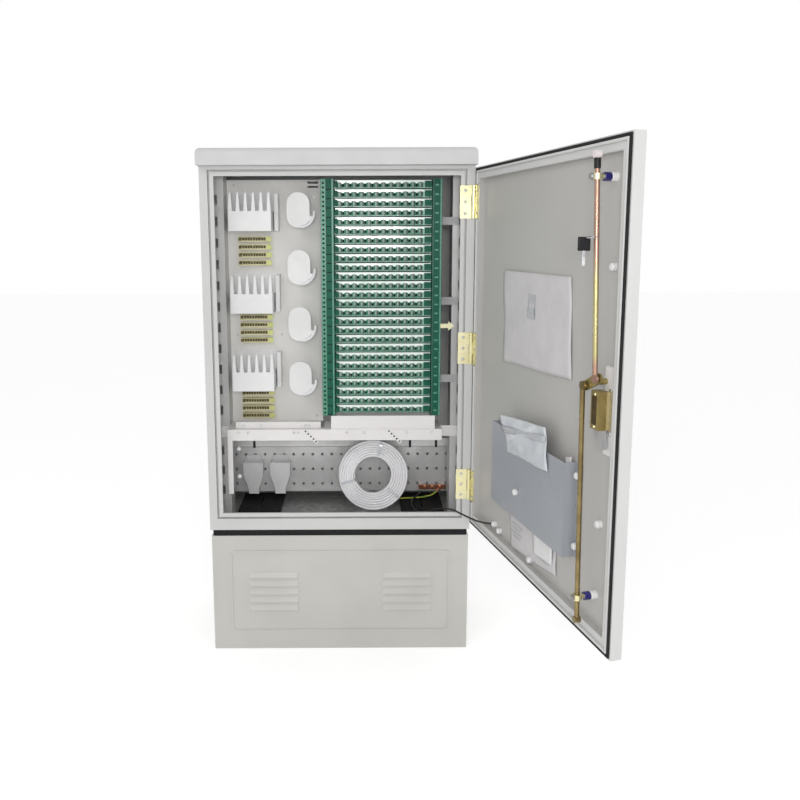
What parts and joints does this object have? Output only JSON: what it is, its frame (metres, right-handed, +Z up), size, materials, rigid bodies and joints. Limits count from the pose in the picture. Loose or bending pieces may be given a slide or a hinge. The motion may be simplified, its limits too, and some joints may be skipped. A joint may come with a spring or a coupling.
{
  "type": "street fibre distribution cabinet",
  "caption": "Free-standing street cabinet on a vented plinth, side-hinged door with rod lock, pull-out fibre trays, combs, bobbins and cable fixing inside.",
  "frame": {"origin": "centre of the anchor hole rectangle on the underside of the plinth", "axes": "+X to the right seen from the front, +Y into the cabinet from the door side, +Z up"},
  "size_m": [0.9338, 1.0392, 1.42],
  "materials": {
    "cabinet_paint": "satin powder coat",
    "black_rubber": "matt",
    "zinc_sheet": "zinc coated",
    "grey_steel": "satin",
    "white_plastic": "moulded",
    "cream_plastic": "moulded",
    "green_paint": "satin",
    "white_steel": "satin",
    "copper": "drawn copper",
    "lead_yellow_green": "insulated lead",
    "lead_black": "insulated lead",
    "white_tube": "soft tube",
    "zinc_plated": "yellow zinc plating",
    "lock_steel": "satin",
    "copper_rod": "copper plated",
    "navy_plastic": "moulded",
    "pocket_steel": "satin",
    "brass_key": "cut blank",
    "tray_plastic": "moulded"
  },
  "bodies": {
    "root": {"plinth_box": "cabinet_paint", "plinth_front_panel": "cabinet_paint", "rubber_seals": "black_rubber", "body_shell": "cabinet_paint", "floor_panel": "zinc_sheet", "front_frame": "cabinet_paint", "roof_cap": "cabinet_paint", "mounting_frame": "grey_steel", "mounting_plate": "grey_steel", "fibre_combs": "white_plastic", "parking_holders": "cream_plastic", "storage_bobbins": "white_plastic", "rack_frame": "green_paint", "cross_beam": "white_steel", "cable_fixing_plate": "grey_steel", "duct_funnels": "white_plastic", "earth_bar": "copper", "inner_earth_lead": "lead_yellow_green", "door_earth_lead": "lead_black", "tube_coil": "white_tube", "frame_hinges": "zinc_plated"},
    "door": {"door_panel": "cabinet_paint", "door_liner": "cabinet_paint", "door_gasket": "black_rubber", "door_hinges": "zinc_plated", "lock_box": "lock_steel", "rod_guides": "navy_plastic", "door_nuts": "white_plastic", "document_pocket": "pocket_steel", "key": "brass_key"},
    "lock": {"lock_cam": "zinc_plated"},
    "handle": {"swing_handle": "lock_steel"},
    "upper_rod_body": {"upper_rod": "copper_rod"},
    "lower_rod_body": {"lower_rod": "copper_rod"},
    "tray_01_body": {"tray_01": "tray_plastic"},
    "tray_02_body": {"tray_02": "tray_plastic"},
    "tray_03_body": {"tray_03": "tray_plastic"},
    "tray_04_body": {"tray_04": "tray_plastic"},
    "tray_05_body": {"tray_05": "tray_plastic"},
    "tray_06_body": {"tray_06": "tray_plastic"},
    "tray_07_body": {"tray_07": "tray_plastic"},
    "tray_08_body": {"tray_08": "tray_plastic"},
    "tray_09_body": {"tray_09": "tray_plastic"},
    "tray_10_body": {"tray_10": "tray_plastic"},
    "tray_11_body": {"tray_11": "tray_plastic"},
    "tray_12_body": {"tray_12": "tray_plastic"},
    "tray_13_body": {"tray_13": "tray_plastic"},
    "tray_14_body": {"tray_14": "tray_plastic"},
    "tray_15_body": {"tray_15": "tray_plastic"},
    "tray_16_body": {"tray_16": "tray_plastic"},
    "tray_17_body": {"tray_17": "tray_plastic"},
    "tray_18_body": {"tray_18": "tray_plastic"},
    "tray_19_body": {"tray_19": "tray_plastic"},
    "tray_20_body": {"tray_20": "tray_plastic"},
    "tray_21_body": {"tray_21": "tray_plastic"},
    "tray_22_body": {"tray_22": "tray_plastic"},
    "tray_23_body": {"tray_23": "tray_plastic"},
    "tray_24_body": {"tray_24": "tray_plastic"},
    "tray_25_body": {"tray_25": "tray_plastic"},
    "tray_26_body": {"tray_26": "tray_plastic"}
  },
  "joints": [
    {"name": "door_hinge", "type": "hinge", "parent": "root", "child": "door", "pos_m": [0.3635, -0.16685, 0.884], "axis": [0, 0, 1], "range_deg": [-102.9, 12.1], "deforming": ["door_earth_lead"]},
    {"name": "lock_turn", "type": "hinge", "parent": "door", "child": "lock", "pos_m": [0.52941, -0.80389, 0.914], "axis": [0.9748, 0.2233, 0], "range_deg": [-60, 0]},
    {"name": "upper_rod_slide", "type": "slide", "parent": "door", "child": "upper_rod_body", "axis": [-0.0121, 0.0526, 0.9985], "range_m": [0, 0.014]},
    {"name": "lower_rod_slide", "type": "slide", "parent": "door", "child": "lower_rod_body", "axis": [0.0054, -0.0235, -0.9997], "range_m": [0, 0.014]},
    {"name": "handle_lift", "type": "hinge", "parent": "lock", "child": "handle", "pos_m": [0.55329, -0.79842, 0.914], "axis": [0.2233, -0.9748, 0], "range_deg": [0, 45]},
    {"name": "tray_01_slide", "type": "slide", "parent": "root", "child": "tray_01_body", "axis": [0, -1, 0], "range_m": [0, 0.15]},
    {"name": "tray_02_slide", "type": "slide", "parent": "root", "child": "tray_02_body", "axis": [0, -1, 0], "range_m": [0, 0.15]},
    {"name": "tray_03_slide", "type": "slide", "parent": "root", "child": "tray_03_body", "axis": [0, -1, 0], "range_m": [0, 0.15]},
    {"name": "tray_04_slide", "type": "slide", "parent": "root", "child": "tray_04_body", "axis": [0, -1, 0], "range_m": [0, 0.15]},
    {"name": "tray_05_slide", "type": "slide", "parent": "root", "child": "tray_05_body", "axis": [0, -1, 0], "range_m": [0, 0.15]},
    {"name": "tray_06_slide", "type": "slide", "parent": "root", "child": "tray_06_body", "axis": [0, -1, 0], "range_m": [0, 0.15]},
    {"name": "tray_07_slide", "type": "slide", "parent": "root", "child": "tray_07_body", "axis": [0, -1, 0], "range_m": [0, 0.15]},
    {"name": "tray_08_slide", "type": "slide", "parent": "root", "child": "tray_08_body", "axis": [0, -1, 0], "range_m": [0, 0.15]},
    {"name": "tray_09_slide", "type": "slide", "parent": "root", "child": "tray_09_body", "axis": [0, -1, 0], "range_m": [0, 0.15]},
    {"name": "tray_10_slide", "type": "slide", "parent": "root", "child": "tray_10_body", "axis": [0, -1, 0], "range_m": [0, 0.15]},
    {"name": "tray_11_slide", "type": "slide", "parent": "root", "child": "tray_11_body", "axis": [0, -1, 0], "range_m": [0, 0.15]},
    {"name": "tray_12_slide", "type": "slide", "parent": "root", "child": "tray_12_body", "axis": [0, -1, 0], "range_m": [0, 0.15]},
    {"name": "tray_13_slide", "type": "slide", "parent": "root", "child": "tray_13_body", "axis": [0, -1, 0], "range_m": [0, 0.15]},
    {"name": "tray_14_slide", "type": "slide", "parent": "root", "child": "tray_14_body", "axis": [0, -1, 0], "range_m": [0, 0.15]},
    {"name": "tray_15_slide", "type": "slide", "parent": "root", "child": "tray_15_body", "axis": [0, -1, 0], "range_m": [0, 0.15]},
    {"name": "tray_16_slide", "type": "slide", "parent": "root", "child": "tray_16_body", "axis": [0, -1, 0], "range_m": [0, 0.15]},
    {"name": "tray_17_slide", "type": "slide", "parent": "root", "child": "tray_17_body", "axis": [0, -1, 0], "range_m": [0, 0.15]},
    {"name": "tray_18_slide", "type": "slide", "parent": "root", "child": "tray_18_body", "axis": [0, -1, 0], "range_m": [0, 0.15]},
    {"name": "tray_19_slide", "type": "slide", "parent": "root", "child": "tray_19_body", "axis": [0, -1, 0], "range_m": [0, 0.15]},
    {"name": "tray_20_slide", "type": "slide", "parent": "root", "child": "tray_20_body", "axis": [0, -1, 0], "range_m": [0, 0.15]},
    {"name": "tray_21_slide", "type": "slide", "parent": "root", "child": "tray_21_body", "axis": [0, -1, 0], "range_m": [0, 0.15]},
    {"name": "tray_22_slide", "type": "slide", "parent": "root", "child": "tray_22_body", "axis": [0, -1, 0], "range_m": [0, 0.15]},
    {"name": "tray_23_slide", "type": "slide", "parent": "root", "child": "tray_23_body", "axis": [0, -1, 0], "range_m": [0, 0.15]},
    {"name": "tray_24_slide", "type": "slide", "parent": "root", "child": "tray_24_body", "axis": [0, -1, 0], "range_m": [0, 0.15]},
    {"name": "tray_25_slide", "type": "slide", "parent": "root", "child": "tray_25_body", "axis": [0, -1, 0], "range_m": [0, 0.15]},
    {"name": "tray_26_slide", "type": "slide", "parent": "root", "child": "tray_26_body", "axis": [0, -1, 0], "range_m": [0, 0.15]}
  ],
  "couplings": [
    {"joint": "upper_rod_slide", "follows": "lock_turn", "m_per_rad": -0.013368},
    {"joint": "lower_rod_slide", "follows": "lock_turn", "m_per_rad": -0.013368}
  ]
}
